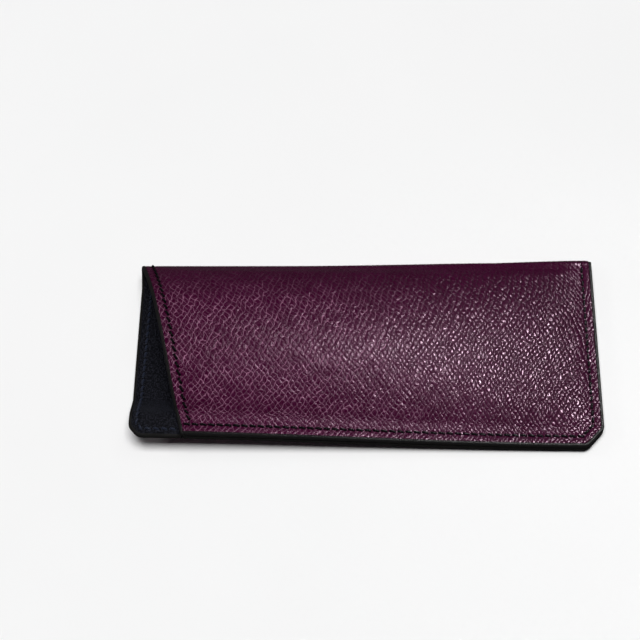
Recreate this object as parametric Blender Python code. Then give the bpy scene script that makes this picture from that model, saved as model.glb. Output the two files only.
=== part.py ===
"""Soft slip-in case for a pair of glasses, lying on a table with its mouth towards -X.

One piece of leather and one piece of lining are folded together along the far side (+Y) and sewn through
all four layers along the near side and the closed end. The front panel is on top, and its lip is slanted.
The back panel reaches past the lip as a tab. The case is swollen at the mouth and flat at the closed end.

Every piece is drawn on the flat pattern and then bent with the panels. A place has three coordinates:
    along   distance from the mouth end towards the closed end
    across  distance from the fold, positive on the front panel and negative on the back panel
    depth   distance outwards from the inner face of the lining
"""

import math

import bpy

MM = 0.001

# The flat pattern
LENGTH = 175 * MM
WIDTH = 81 * MM  # of one panel, from the fold to the cut edge
LIP_SLANT = 19.5 * MM  # how much further in the lip is at the seam than at the fold
CORNER_ALONG = 6 * MM  # the cut corner at the closed end
CORNER_ACROSS = 7 * MM
TAB_CORNER_ALONG = 4 * MM  # the smaller cut corner of the tab
TAB_CORNER_ACROSS = 4.6 * MM

# The layers
LEATHER = 1.1 * MM
LINING = 0.6 * MM
INTERLINING = 0.5 * MM
GAP = 0.3 * MM  # between two pieces that lie on each other
HALF_SLIT = 0.2 * MM  # half of the gap between the two panels at the seam
THIN_DEPTH = LINING + GAP  # the leather's inner face along the edges
THICK_DEPTH = THIN_DEPTH + INTERLINING + GAP  # and over the interlining
THIN_STACK = THIN_DEPTH + LEATHER
THICK_STACK = THICK_DEPTH + LEATHER

# The leather ramps up to the interlining between these distances from an edge and from the fold
EDGE_RAMP = (4.6 * MM, 8.0 * MM)
FOLD_RAMP = (2.7 * MM, 5.5 * MM)

# The swollen shape
SEAM_ALLOWANCE = 7 * MM  # stays level, pressed together
OPENING_RADIUS = 5.5 * MM  # the bend with which a panel leaves the seam
MOUTH_ANGLE = 0.75  # radians, the slope of a panel after that bend at the mouth
SWELL_END = 172 * MM  # where the swelling has died out
SWELL_RUN = 200 * MM
SWELL_POWER = 0.34  # below 1, the swelling holds its size for most of the length
SEAM_LIFT = 8.3 * MM  # how much higher the seam lies towards the mouth than at the closed end
SEAM_LIFT_END = 170 * MM
SEAM_LIFT_RUN = 180 * MM
FOLD_LIFT = 4.7 * MM  # the same for the fold, which is softer and stays lower
FOLD_LIFT_END = 140 * MM
FOLD_LIFT_RUN = 160 * MM
CLIMB_SHARE = 0.6  # of climb squared over the swelling's run, what a panel loses of its length by climbing

# The grid on which the panels are drawn, as distances from the cut edge, the fold and the two ends
SEAM_ROWS = (0.0, 2.3 * MM, TAB_CORNER_ACROSS, CORNER_ACROSS, 9 * MM, 11 * MM, 13 * MM)
FOLD_ROWS = (6 * MM, 4 * MM, 2.7 * MM, 1.8 * MM, 0.9 * MM, 0.0)
ARCH_ROWS = 9
END_COLUMNS = (0.0, 2.3 * MM, 4.6 * MM, 8.5 * MM)
MIDDLE_COLUMNS = 11

# Stitching and edge paint
STITCH_INSET = 3.2 * MM
THREAD_RADIUS = 0.25 * MM
ROW_SPACING = 1.4 * MM  # between the end of one row of stitches and the line of the next
SLIT_FOR_THREAD = 10 * MM  # from the seam, the inner thread starts where the panels stand this far apart
FOLD_CLEARANCE = 2.5 * MM  # the closing seam's stitches stop this far short of the fold
PAINT_REACH = 0.9 * MM  # how far the bead of paint stands out from the cut edges
PAINT_SHOULDER = 0.6 * MM
PAINT_EDGE = 0.1 * MM  # the bead stops this far below the faces of the layers

# With this the box round the case is centred on the origin
FLAT_REACH = WIDTH - HALF_SLIT * math.pi / 2 + HALF_SLIT + THIN_STACK
SEAM_Y = (PAINT_REACH - FLAT_REACH) / 2
CLOSED_HEIGHT = HALF_SLIT + THICK_STACK  # of the plane between the panels, at the closed end


def smooth_step(value):
    value = min(max(value, 0.0), 1.0)
    return value * value * (3 - 2 * value)


def mouth_edge(across):
    """Where the pattern starts: the slanted lip in front, the tab with its cut corner behind."""
    if across > 0:
        return LIP_SLANT * across / WIDTH
    return corner_cut(across, TAB_CORNER_ALONG, TAB_CORNER_ACROSS)


def end_edge(across):
    return LENGTH - corner_cut(across, CORNER_ALONG, CORNER_ACROSS)


def corner_cut(across, cut_along, cut_across):
    """How far a cut corner sets the edge back at this distance from the fold."""
    return cut_along * max(0.0, 1 - (WIDTH - abs(across)) / cut_across)


def opening_angle(along):
    """The slope at which the panels leave the seam, which falls to nothing at the closed end."""
    return MOUTH_ANGLE * smooth_step((SWELL_END - along) / SWELL_RUN) ** SWELL_POWER


def middle_height(along, from_seam):
    """The height of the surface between the panels."""
    at_seam = SEAM_LIFT * smooth_step((SEAM_LIFT_END - along) / SEAM_LIFT_RUN)
    at_fold = FOLD_LIFT * smooth_step((FOLD_LIFT_END - along) / FOLD_LIFT_RUN)
    return CLOSED_HEIGHT + at_seam + (at_fold - at_seam) * smooth_step(from_seam / WIDTH)


def arc(length, first, last):
    """The width and the rise of an arc whose slope turns from the first angle to the last."""
    half = (last - first) / 2
    chord = length * (math.sin(half) / half if abs(half) > 1e-9 else 1.0)
    return chord * math.cos(first + half), chord * math.sin(first + half)


def panel_section(from_seam, angle):
    """The width and height reached by a panel's inner face, and its slope there.

    The panel leaves the seam level, bends up to the angle, arches over to the same angle downwards, and
    ends in half of the fold's bend, which brings it to the plane between the panels.
    """
    fold_radius = (HALF_SLIT + OPENING_RADIUS * (1 - math.cos(angle))) / math.cos(angle)
    opening = OPENING_RADIUS * angle
    folding = fold_radius * (math.pi / 2 - angle)
    arch = WIDTH - SEAM_ALLOWANCE - opening - folding
    stretches = (
        (SEAM_ALLOWANCE, 0.0, 0.0),
        (opening, 0.0, angle),
        (arch, angle, -angle),
        (folding, -angle, -math.pi / 2),
    )
    width = 0.0
    height = HALF_SLIT
    slope = 0.0
    for length, first, last in stretches:
        covered = min(from_seam, length)
        if length > 0:
            slope = first + (last - first) * covered / length
        step, rise = arc(covered, first, slope)
        width += step
        height += rise
        from_seam -= covered
        if from_seam <= 0:
            break
    return width, height, slope


def bent(along, across, depth):
    """The place in the case of a place on the flat pattern. The table presses the back panel flat."""
    side = 1 if across >= 0 else -1
    from_seam = WIDTH - abs(across)
    width, height, slope = panel_section(from_seam, opening_angle(along))
    y = SEAM_Y + width - depth * math.sin(slope)
    z = middle_height(along, from_seam) + side * (height + depth * math.cos(slope))
    if side < 0:
        z = max(z, THICK_STACK - depth)
    climb = z - CLOSED_HEIGHT - side * (HALF_SLIT + depth * math.cos(slope))
    x = along - LENGTH / 2 + CLIMB_SHARE * climb**2 / SWELL_RUN
    return x, y, z


def leather_depth(along, across):
    """The depth of the leather's inner face, which rises over the interlining."""
    from_edge = min(WIDTH - abs(across), along - mouth_edge(across), end_edge(across) - along)
    at_edge = smooth_step((from_edge - EDGE_RAMP[0]) / (EDGE_RAMP[1] - EDGE_RAMP[0]))
    at_fold = smooth_step((abs(across) - FOLD_RAMP[0]) / (FOLD_RAMP[1] - FOLD_RAMP[0]))
    return THIN_DEPTH + (THICK_DEPTH - THIN_DEPTH) * min(at_edge, at_fold)


def panel_rows():
    """The distances from the fold of the lines on which one panel is drawn, from the seam to the fold."""
    near = [WIDTH - row for row in SEAM_ROWS]
    step = (near[-1] - FOLD_ROWS[0]) / ARCH_ROWS
    arch = [near[-1] - step * i for i in range(1, ARCH_ROWS)]
    return near + arch + list(FOLD_ROWS)


def sheet_rows():
    """The rows of a whole folded sheet, from the front panel's seam over the fold to the back's."""
    front = panel_rows()
    back = [-row for row in reversed(front[:-1])]
    return front + back


def columns(first, last):
    """Places from first to last: close together at both ends, with even steps between them."""
    near = [first + distance for distance in END_COLUMNS]
    far = [last - distance for distance in reversed(END_COLUMNS)]
    step = (far[0] - near[-1]) / MIDDLE_COLUMNS
    middle = [near[-1] + step * i for i in range(1, MIDDLE_COLUMNS)]
    return near + middle + far


def material(name, colour, roughness):
    made = bpy.data.materials.new(name)
    made.use_nodes = True
    shader = made.node_tree.nodes["Principled BSDF"]
    shader.inputs["Base Color"].default_value = (*colour, 1.0)
    shader.inputs["Roughness"].default_value = roughness
    shader.inputs["Metallic"].default_value = 0.0
    return made


def add_mesh(name, points, faces, finish):
    mesh = bpy.data.meshes.new(name)
    mesh.from_pydata(points, [], faces)
    mesh.materials.append(finish)
    mesh.shade_smooth()
    mesh.set_sharp_from_angle(angle=math.radians(40))
    made = bpy.data.objects.new(name, mesh)
    bpy.context.collection.objects.link(made)


def add_sheet(name, places, inner_depth, outer_depth, finish):
    """A closed sheet between two depths. The places are rows of (along, across).

    Each layer is split into triangles the same way, so that neighbouring sheets stay parallel.
    """
    row_count = len(places)
    row_length = len(places[0])
    points = []
    for depth_at in (inner_depth, outer_depth):
        for row in places:
            points += [bent(along, across, depth_at(along, across)) for along, across in row]

    def corner(layer, row, column):
        return (layer * row_count + row) * row_length + column

    faces = []
    for row in range(row_count - 1):
        for column in range(row_length - 1):
            first, last = (row, column), (row + 1, column + 1)
            for ring in ((first, (row, column + 1), last), (first, last, (row + 1, column))):
                faces.append([corner(1, *place) for place in ring])
                faces.append([corner(0, *place) for place in reversed(ring)])
    rim = [(0, column) for column in range(row_length)]
    rim += [(row, row_length - 1) for row in range(1, row_count)]
    rim += [(row_count - 1, column) for column in range(row_length - 2, -1, -1)]
    rim += [(row, 0) for row in range(row_count - 2, 0, -1)]
    for place, following in zip(rim, rim[1:] + rim[:1]):
        faces.append([corner(0, *place), corner(0, *following), corner(1, *following), corner(1, *place)])
    add_mesh(name, points, faces, finish)


def add_bead(name, rings, finish):
    """A closed bead through rings of points, capped at both ends."""
    sides = len(rings[0])
    points = [point for ring in rings for point in ring]
    faces = []
    for start in range(0, len(points) - sides, sides):
        for side in range(sides):
            following = (side + 1) % sides
            faces.append([start + side, start + following, start + sides + following, start + sides + side])
    faces.append(list(reversed(range(sides))))
    faces.append(list(range(len(points) - sides, len(points))))
    add_mesh(name, points, faces, finish)


def add_thread(name, points, finish):
    curve = bpy.data.curves.new(name, "CURVE")
    curve.dimensions = "3D"
    curve.bevel_depth = THREAD_RADIUS
    curve.bevel_resolution = 1
    curve.use_fill_caps = True
    curve.materials.append(finish)
    spline = curve.splines.new("POLY")
    spline.points.add(len(points) - 1)
    for place, point in zip(spline.points, points):
        place.co = (*point, 1.0)
    made = bpy.data.objects.new(name, curve)
    bpy.context.collection.objects.link(made)


def offset_line(line, distance):
    """A line on the pattern moved to its left, with mitred corners."""
    moved = []
    for i, (along, across) in enumerate(line):
        before = line[max(i - 1, 0)]
        after = line[min(i + 1, len(line) - 1)]
        turn_in = math.atan2(across - before[1], along - before[0]) if i else None
        turn_out = math.atan2(after[1] - across, after[0] - along) if i < len(line) - 1 else turn_in
        turn_in = turn_out if turn_in is None else turn_in
        half = math.remainder(turn_out - turn_in, math.tau) / 2
        left = turn_in + half + math.pi / 2
        reach = distance / math.cos(half)
        moved.append((along + reach * math.cos(left), across + reach * math.sin(left)))
    return moved


def mouth_outline(tab_end):
    """The mouth's cut edge: up the lip, over the fold, down the back panel and along the tab's near side."""
    line = [(mouth_edge(across), across) for across in sheet_rows()]
    line += [((TAB_CORNER_ALONG + tab_end) / 2, -WIDTH), (tab_end, -WIDTH)]
    return line


def seam_outline():
    """The closing seam's cut edge on the front panel: along the closed end, then back to the lip."""
    line = [(end_edge(across), across) for across in reversed(panel_rows())]
    near_side = columns(LIP_SLANT, LENGTH - CORNER_ALONG)
    line += [(along, WIDTH) for along in reversed(near_side[:-1])]
    return line


def grid_row(across):
    return [(along, across) for along in columns(mouth_edge(across), end_edge(across))]


def make_sheets(leather, suede):
    def leather_outside(along, across):
        return leather_depth(along, across) + LEATHER

    places = [grid_row(across) for across in sheet_rows()]
    add_sheet("outer_leather", places, leather_depth, leather_outside, leather)
    add_sheet("lining", places, lambda *_: 0.0, lambda *_: LINING, suede)


def make_interlinings(felt):
    """Each fills the middle of a panel's grid, where the leather stands clear of the lining."""
    edge = len(END_COLUMNS) - 1
    for name, side in (("front_interlining", 1), ("back_interlining", -1)):
        rows = [row for row in sheet_rows() if FOLD_RAMP[1] < side * row < WIDTH - EDGE_RAMP[1]]
        places = [grid_row(row)[edge:-edge] for row in rows]
        add_sheet(name, places, lambda *_: THIN_DEPTH, lambda *_: THIN_DEPTH + INTERLINING, felt)


def make_threads(thread):
    outside = THIN_STACK + GAP + THREAD_RADIUS
    inside = -GAP - THREAD_RADIUS

    mouth_row = offset_line(mouth_outline(LIP_SLANT - PAINT_REACH - ROW_SPACING), STITCH_INSET)
    outer_row = [place for place in mouth_row if place[1] < WIDTH - STITCH_INSET - ROW_SPACING]
    inner_row = [place for place in mouth_row if place[1] < WIDTH - SLIT_FOR_THREAD]
    add_thread("mouth_needle_thread", [bent(*place, outside) for place in outer_row], thread)
    add_thread("mouth_bobbin_thread", [bent(*place, inside) for place in inner_row], thread)

    seam_row = [place for place in offset_line(seam_outline(), STITCH_INSET) if place[1] > FOLD_CLEARANCE]
    add_thread("seam_needle_thread", [bent(*place, outside) for place in seam_row], thread)
    under = [bent(along, -across, outside) for along, across in seam_row]
    add_thread("seam_bobbin_thread", under, thread)


def make_edge_paint(paint):
    low = PAINT_EDGE
    high = THIN_STACK - PAINT_EDGE
    quarter = THIN_STACK / 4
    profile = (
        (GAP, low),
        (PAINT_SHOULDER, low),
        (PAINT_REACH, quarter),
        (PAINT_REACH, THIN_STACK - quarter),
        (PAINT_SHOULDER, high),
        (GAP, high),
    )
    outline = mouth_outline(LIP_SLANT - 2 * GAP)
    strands = [(offset_line(outline, -reach), depth) for reach, depth in profile]
    rings = [[bent(*line[i], depth) for line, depth in strands] for i in range(len(outline))]
    add_bead("mouth_edge_paint", rings, paint)

    top = ((GAP, high), (PAINT_SHOULDER, high), (PAINT_REACH, THIN_STACK / 2))
    outline = seam_outline()[1:]
    lines = [(offset_line(outline, -reach), depth) for reach, depth in top]
    rings = []
    for i in range(len(outline)):
        below = [bent(line[i][0], -line[i][1], depth) for line, depth in lines]
        above = [bent(*line[i], depth) for line, depth in reversed(lines)]
        rings.append(below + above)
    add_bead("seam_edge_paint", rings, paint)


def main():
    for old in list(bpy.data.objects):
        bpy.data.objects.remove(old)
    make_sheets(
        leather=material("purple_leather", (0.07, 0.012, 0.045), 0.42),
        suede=material("black_suede", (0.008, 0.009, 0.012), 0.95),
    )
    make_interlinings(material("grey_felt", (0.18, 0.18, 0.17), 0.95))
    make_threads(material("black_thread", (0.006, 0.006, 0.006), 0.6))
    make_edge_paint(material("black_edge_paint", (0.016, 0.016, 0.015), 0.4))


main()
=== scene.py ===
"""The looks of the soft slip-in glasses case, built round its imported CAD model.

The case is one piece of pebbled leather and one of suede, folded together along the far side (+Y) and
sewn along the near side and the closed end. Each piece is drawn on the flat pattern: along, from the
mouth towards the closed end, and across, from the fold, positive on the front panel and negative on the
back. bent() takes a place on it, at a depth outwards from the lining's inner face, to the swollen case.

Lengths are in metres, as in the frame. In the patterns of the materials they are in millimetres, or in
metres where they are multiples of MM.
"""

import math

import bmesh
import bpy
import numpy as np
from mathutils import Matrix


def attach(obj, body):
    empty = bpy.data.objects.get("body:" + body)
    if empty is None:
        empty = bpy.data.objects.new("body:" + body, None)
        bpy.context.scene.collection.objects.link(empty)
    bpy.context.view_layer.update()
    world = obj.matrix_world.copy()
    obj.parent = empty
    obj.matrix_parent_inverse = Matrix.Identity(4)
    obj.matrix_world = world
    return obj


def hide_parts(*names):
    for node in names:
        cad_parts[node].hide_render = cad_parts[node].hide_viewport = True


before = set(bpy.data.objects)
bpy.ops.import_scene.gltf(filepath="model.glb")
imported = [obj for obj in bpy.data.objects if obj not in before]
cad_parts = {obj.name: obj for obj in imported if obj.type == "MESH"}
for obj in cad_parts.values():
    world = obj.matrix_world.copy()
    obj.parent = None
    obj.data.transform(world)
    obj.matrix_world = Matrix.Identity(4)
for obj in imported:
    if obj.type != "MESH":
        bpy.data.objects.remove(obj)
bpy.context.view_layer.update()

MM = 0.001

# The flat pattern, as in the CAD but for the tab's corner
LENGTH = 175 * MM
WIDTH = 81 * MM
LIP_SLANT = 19.5 * MM
CORNER_ALONG = 6 * MM
CORNER_ACROSS = 7 * MM
TAB_CORNER_ALONG = 3 * MM  # less than in the CAD, because the paint rounds it off
TAB_CORNER_ACROSS = 3.6 * MM

# The layers, as in the CAD
LEATHER = 1.1 * MM
LINING = 0.6 * MM
INTERLINING = 0.5 * MM
GAP = 0.3 * MM
HALF_SLIT = 0.2 * MM
THIN_DEPTH = LINING + GAP
THICK_DEPTH = THIN_DEPTH + INTERLINING + GAP
THIN_STACK = THIN_DEPTH + LEATHER
THICK_STACK = THICK_DEPTH + LEATHER

# The felt interlinings. The leather rises over them more gently than in the CAD, because they are shaved
# thin at their edges.
EDGE_RAMP = (4.6 * MM, 17.0 * MM)  # where the rise starts and ends, from the pattern's edges
FOLD_RAMP = (2.7 * MM, 9.0 * MM)  # and from the fold
FELT_EDGE = 8.5 * MM  # from the pattern's edges to the felt's
FELT_FOLD = 6.0 * MM  # from the fold to the felt

# The swollen shape, as in the CAD
SEAM_ALLOWANCE = 7 * MM
OPENING_RADIUS = 5.5 * MM
MOUTH_ANGLE = 0.75
SWELL_END = 172 * MM
SWELL_RUN = 200 * MM
SWELL_POWER = 0.34
SEAM_LIFT = 8.3 * MM
SEAM_LIFT_END = 170 * MM
SEAM_LIFT_RUN = 180 * MM
FOLD_LIFT = 4.7 * MM
FOLD_LIFT_END = 140 * MM
FOLD_LIFT_RUN = 160 * MM
CLIMB_SHARE = 0.6
PAINT_REACH = 0.9 * MM
FLAT_REACH = WIDTH - HALF_SLIT * math.pi / 2 + HALF_SLIT + THIN_STACK
SEAM_Y = (PAINT_REACH - FLAT_REACH) / 2
CLOSED_HEIGHT = HALF_SLIT + THICK_STACK

# The rows of stitches
STITCH_INSET = 3.2 * MM  # from the cut edge to the row
TAB_INSET = 2.2 * MM  # the same on the tab, less than in the CAD
ROW_SPACING = 1.4 * MM  # from the end of one row to the next row
SLIT_FOR_THREAD = 10 * MM  # from the near edge to where the thread inside the lip starts
FOLD_CLEARANCE = 2.5 * MM
NEEDLE_START = WIDTH - STITCH_INSET - ROW_SPACING  # where the mouth's rows start, across the front panel
BOBBIN_START = WIDTH - SLIT_FOR_THREAD
MOUTH_ROUNDING = STITCH_INSET / 4  # the radius at the corners of a row
SEAM_ROUNDING = STITCH_INSET / 8

# The stitches
STITCH_PITCH = 3.05 * MM
THREAD_RADIUS = 0.45 * MM
STITCH_MARGIN = 0.68 * MM  # from a hole's centre to where the thread comes out of it
STITCH_RISE = 0.27 * MM  # of the thread's centre above the leather, in the middle of a stitch
STITCH_SINK = 0.55 * MM  # of the thread's centre below the leather, in a hole
STITCH_DIVE = 5  # the higher, the more suddenly a stitch dives at its ends
MOUTH_LEAN = -0.3 * MM  # how far a stitch's last end lies to the left of its row
SEAM_LEAN = 0.14 * MM
STITCH_RINGS = 15
STITCH_SIDES = 10
PLY_SHARE = 0.12  # how much the two twisted plies swell and pinch the thread
PLY_TURNS = 1.6  # in one stitch

# The beads of edge paint
CORNER_RADIUS = 3.0 * MM
BEAD_SIDES = 12
BEAD_ROOT = 0.35 * MM  # how far the bead reaches in over the cut edges, under the faces
BEAD_FULLNESS = 0.5  # 1 is a half ellipse, and less is fuller
BEAD_HEEL = 0.9  # how much of the bead's thickness its root has
BEAD_START = 0.3  # how much of its reach the bead has at its two ends
PAINT_OVER = 0.06 * MM  # what the paint is thicker than the edge that it covers
PANEL_GROOVE = 0.02 * MM  # from the closing seam's paint to the middle between the panels

# Fineness of the meshes
FINE_STEP = 0.58 * MM  # of the leather's outer face
INNER_SHARE = 3  # the leather's inner face takes every third row and column
SOFT_STEP = 1.3 * MM  # of the lining and the interlinings
PAINT_STEP = 0.6 * MM
SHARP_ANGLE = math.radians(60)
SMALL_REACH = 0.1 * MM  # for finding directions


def smooth_step(value):
    value = np.clip(value, 0.0, 1.0)
    return value * value * (3 - 2 * value)


def fade(value, start, end):
    """From 0 at start to 1 at end, smoothly."""
    return smooth_step((value - start) / (end - start))


def bell(value):
    return np.exp(-(value**2))


def unit(vectors):
    return vectors / np.linalg.norm(vectors, axis=-1, keepdims=True)


def add_object(name, data):
    made = bpy.data.objects.new(name, data)
    bpy.context.collection.objects.link(made)
    return made


# -------- the pattern and the swollen shape


def corner_cut(across, cut_along, cut_across):
    return cut_along * np.maximum(0.0, 1 - (WIDTH - np.abs(across)) / cut_across)


def mouth_edge(across):
    tab = corner_cut(across, TAB_CORNER_ALONG, TAB_CORNER_ACROSS)
    return np.where(across > 0, LIP_SLANT * across / WIDTH, tab)


def end_edge(across):
    return LENGTH - corner_cut(across, CORNER_ALONG, CORNER_ACROSS)


def opening_angle(along):
    return MOUTH_ANGLE * smooth_step((SWELL_END - along) / SWELL_RUN) ** SWELL_POWER


def middle_height(along, from_seam):
    """The height of the plane between the panels, which swells and lifts towards the mouth."""
    at_seam = SEAM_LIFT * smooth_step((SEAM_LIFT_END - along) / SEAM_LIFT_RUN)
    at_fold = FOLD_LIFT * smooth_step((FOLD_LIFT_END - along) / FOLD_LIFT_RUN)
    return CLOSED_HEIGHT + at_seam + (at_fold - at_seam) * smooth_step(from_seam / WIDTH)


def arc(length, first, last):
    """The width and the rise of an arc whose slope turns from the first angle to the last."""
    half = (last - first) / 2
    chord = length * np.sinc(half / math.pi)
    return chord * np.cos(first + half), chord * np.sin(first + half)


def panel_section(from_seam, angle):
    """The width and height reached by a panel's inner face, and its slope there."""
    fold_radius = (HALF_SLIT + OPENING_RADIUS * (1 - np.cos(angle))) / np.cos(angle)
    opening = OPENING_RADIUS * angle
    folding = fold_radius * (math.pi / 2 - angle)
    arch = WIDTH - SEAM_ALLOWANCE - opening - folding
    width = np.minimum(from_seam, SEAM_ALLOWANCE)
    height = np.full_like(width, HALF_SLIT)
    slope = np.zeros_like(width)
    beyond = from_seam - SEAM_ALLOWANCE
    for length, first, last in (
        (opening, np.zeros_like(angle), angle),
        (arch, angle, -angle),
        (folding, -angle, np.full_like(angle, -math.pi / 2)),
    ):
        covered = np.clip(beyond, 0.0, length)
        turned = first + (last - first) * covered / np.maximum(length, 1e-9)
        step, rise = arc(covered, first, turned)
        width = width + step
        height = height + rise
        slope = np.where(beyond > 0, turned, slope)
        beyond = beyond - length
    return width, height, slope


def bent(places, depth):
    """The places in the case of places on the flat pattern. The table presses the back panel flat."""
    along, across, depth = np.broadcast_arrays(places[..., 0], places[..., 1], depth)
    side = np.where(across >= 0, 1.0, -1.0)
    from_seam = WIDTH - np.abs(across)
    width, height, slope = panel_section(from_seam, opening_angle(along))
    y = SEAM_Y + width - depth * np.sin(slope)
    z = middle_height(along, from_seam) + side * (height + depth * np.cos(slope))
    z = np.where(side < 0, np.maximum(z, THICK_STACK - depth), z)
    climb = z - CLOSED_HEIGHT - side * (HALF_SLIT + depth * np.cos(slope))
    x = along - LENGTH / 2 + CLIMB_SHARE * climb**2 / SWELL_RUN
    return np.stack([x, y, z], axis=-1)


def from_cut_edge(along, across):
    """The distance to the nearest edge of the pattern, taken along it or across it."""
    from_side = np.minimum(WIDTH - np.abs(across), along - mouth_edge(across))
    return np.minimum(from_side, end_edge(across) - along)


def leather_depth(along, across):
    """The depth of the leather's inner face, which rises over the interlining."""
    at_edge = fade(from_cut_edge(along, across), *EDGE_RAMP)
    at_fold = fade(np.abs(across), *FOLD_RAMP)
    return THIN_DEPTH + (THICK_DEPTH - THIN_DEPTH) * np.minimum(at_edge, at_fold)


# -------- lines on the pattern


class Line:
    """A line on the pattern, followed by the distance along it."""

    def __init__(self, places):
        self.places = np.array(places, float)
        steps = np.linalg.norm(np.diff(self.places, axis=0), axis=1)
        self.distances = np.concatenate([[0.0], np.cumsum(steps)])
        self.length = self.distances[-1]

    def at(self, distance):
        along = np.interp(distance, self.distances, self.places[:, 0])
        across = np.interp(distance, self.distances, self.places[:, 1])
        return np.stack([along, across], axis=-1)

    def left(self, distance, reach=0.2 * MM):
        """The unit vectors to the left of the line."""
        ahead = self.at(np.minimum(distance + reach, self.length))
        behind = self.at(np.maximum(distance - reach, 0.0))
        run = unit(ahead - behind)
        return np.stack([-run[..., 1], run[..., 0]], axis=-1)

    def nearest(self, places):
        """How far along the line each place is, and how far to the left of the line."""
        best = np.full(len(places), np.inf)
        found = np.zeros(len(places))
        side = np.ones(len(places))
        for first, last, start in zip(self.places[:-1], self.places[1:], self.distances):
            run = last - first
            length = np.linalg.norm(run)
            covered = np.clip((places - first) @ run / length, 0.0, length)
            away = np.linalg.norm(places - first - covered[:, None] * run / length, axis=1)
            closer = away < best
            best = np.where(closer, away, best)
            found = np.where(closer, start + covered, found)
            to_left = (places - first) @ np.array([-run[1], run[0]])
            side = np.where(closer, np.where(to_left < 0, -1.0, 1.0), side)
        return found, side * best


def rounded(corners, radius, step):
    """The line through the corners, each corner rounded off with chords of about that step."""
    corners = [np.array(corner) for corner in corners]
    places = [corners[0]]
    for before, corner, after in zip(corners, corners[1:], corners[2:]):
        run_in = unit(corner - before)
        run_out = unit(after - corner)
        turn = math.atan2(run_in[0] * run_out[1] - run_in[1] * run_out[0], run_in @ run_out)
        setback = radius * math.tan(abs(turn) / 2)
        places.append(corner - run_in * setback)
        pieces = max(2, math.ceil(radius * abs(turn) / step))
        for piece in range(1, pieces + 1):
            angle = turn * piece / pieces
            # The chord of the arc so far leans by half of the angle turned
            chord = 2 * radius * math.sin(abs(angle) / 2)
            lean = math.atan2(run_in[1], run_in[0]) + angle / 2
            places.append(corner - run_in * setback + chord * np.array([math.cos(lean), math.sin(lean)]))
    places.append(corners[-1])
    return Line(places)


def inset(corners, distance):
    """The corners of a line moved to its left."""
    runs = np.diff(corners, axis=0)
    angles = np.arctan2(runs[:, 1], runs[:, 0])
    moved = []
    for (along, across), before, after in zip(corners, [angles[0], *angles], [*angles, angles[-1]]):
        half = math.remainder(after - before, math.tau) / 2
        left = before + half + math.pi / 2
        reach = distance / math.cos(half)
        moved.append((along + reach * math.cos(left), across + reach * math.sin(left)))
    return moved


def mouth_corners(tab_end):
    """The mouth's cut edge: up the lip, over the fold, down the back panel and along the tab."""
    return [
        (LIP_SLANT, WIDTH),
        (0.0, 0.0),
        (0.0, TAB_CORNER_ACROSS - WIDTH),
        (TAB_CORNER_ALONG, -WIDTH),
        (tab_end, -WIDTH),
    ]


def seam_corners(side):
    """A panel's sewn edge, from the closed end of the fold round the cut corner to the lip."""
    return [
        (LENGTH, 0.0),
        (LENGTH, side * (WIDTH - CORNER_ACROSS)),
        (LENGTH - CORNER_ALONG, side * WIDTH),
        (LIP_SLANT, side * WIDTH),
    ]


def mouth_row(first_across):
    """The line of the mouth's stitches, from that place across the front panel to the end of the tab."""
    corners = mouth_corners(LIP_SLANT - PAINT_REACH - ROW_SPACING)
    corners = inset(corners, STITCH_INSET)[:2] + inset(corners, TAB_INSET)[2:]
    line = rounded(corners, MOUTH_ROUNDING, PAINT_STEP)
    start = np.interp(-first_across, -line.places[:, 1], line.distances)
    return cut_short(line, start)


def seam_row(side):
    """The line of the closing seam's stitches on one panel."""
    corners = inset(seam_corners(side), side * STITCH_INSET)
    line = rounded(corners, SEAM_ROUNDING, PAINT_STEP)
    return cut_short(line, FOLD_CLEARANCE)


def cut_short(line, start):
    """The line without its first stretch."""
    return Line([line.at(start), *line.places[line.distances > start]])


def stitch_count(line):
    return round(line.length / STITCH_PITCH)


# -------- node trees


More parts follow.
